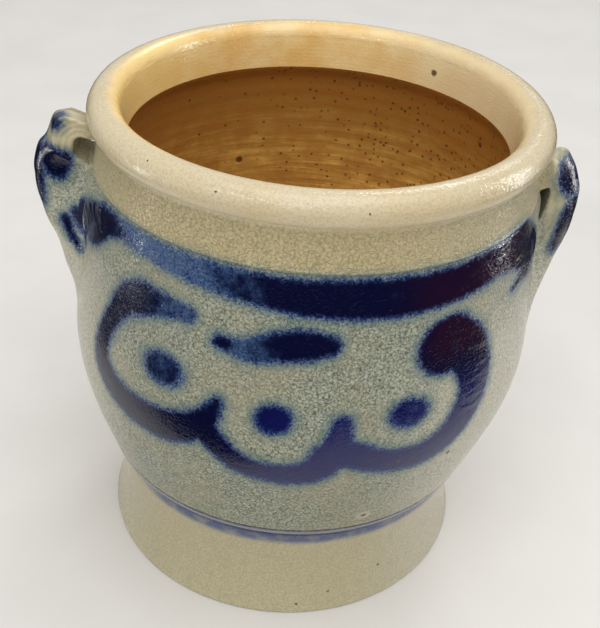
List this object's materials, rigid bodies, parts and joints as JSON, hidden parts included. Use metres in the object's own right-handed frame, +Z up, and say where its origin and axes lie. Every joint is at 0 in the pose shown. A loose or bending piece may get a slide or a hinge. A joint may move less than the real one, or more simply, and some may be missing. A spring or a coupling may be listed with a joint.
{
  "type": "stoneware crock",
  "caption": "Open stoneware crock with a rolled rim, a round belly on a flared foot, and a pulled strap handle on each side.",
  "frame": {"origin": "centre of the flat base, on the table", "axes": "+Z up along the crock's axis; the painted front faces -Y; the handles stand towards +X and -X, a few degrees forward of the axis"},
  "size_m": [0.1918, 0.1728, 0.1845],
  "materials": {
    "body_glaze": "glossy",
    "handle_glaze": "glossy"
  },
  "bodies": {
    "root": {"crock_body": "body_glaze", "left_handle": "handle_glaze", "right_handle": "handle_glaze"}
  },
  "joints": []
}
